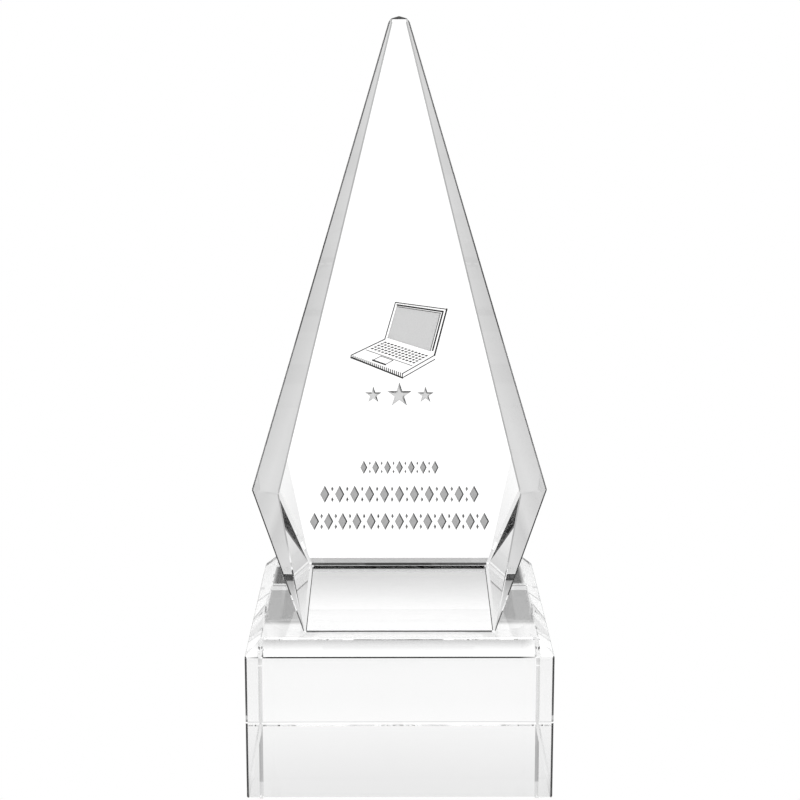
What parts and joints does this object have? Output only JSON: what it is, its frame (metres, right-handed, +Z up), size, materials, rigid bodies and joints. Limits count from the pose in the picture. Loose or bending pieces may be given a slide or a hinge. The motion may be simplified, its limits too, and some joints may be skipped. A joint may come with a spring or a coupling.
{
  "type": "crystal award",
  "caption": "Pointed faceted crystal spire bonded to a clear block, with an engraved laptop pictogram, stars and ornament rows filled in matt grey.",
  "frame": {"origin": "centre of the block's underside", "axes": "+Z up through the tip, +X to the right as the engraving is read, engraved front face towards -Y"},
  "size_m": [0.08, 0.084, 0.2008],
  "materials": {
    "spire_crystal": "polished optical crystal",
    "block_crystal": "polished optical crystal",
    "clear_adhesive": "clear cured adhesive",
    "light_grey_paint": "matt paint filling",
    "mid_grey_paint": "matt paint filling",
    "dark_grey_paint": "matt paint filling"
  },
  "bodies": {
    "root": {"base_block": "block_crystal", "adhesive_film": "clear_adhesive", "spire": "spire_crystal", "laptop_screen_fill": "light_grey_paint", "laptop_lid_fill": "dark_grey_paint", "laptop_keys_fill": "mid_grey_paint", "laptop_deck_fill": "dark_grey_paint", "laptop_trackpad_fill": "dark_grey_paint", "left_star_fill": "mid_grey_paint", "centre_star_fill": "mid_grey_paint", "right_star_fill": "mid_grey_paint", "upper_ornament_fill": "mid_grey_paint", "middle_ornament_fill": "mid_grey_paint", "lower_ornament_fill": "mid_grey_paint"}
  },
  "joints": []
}
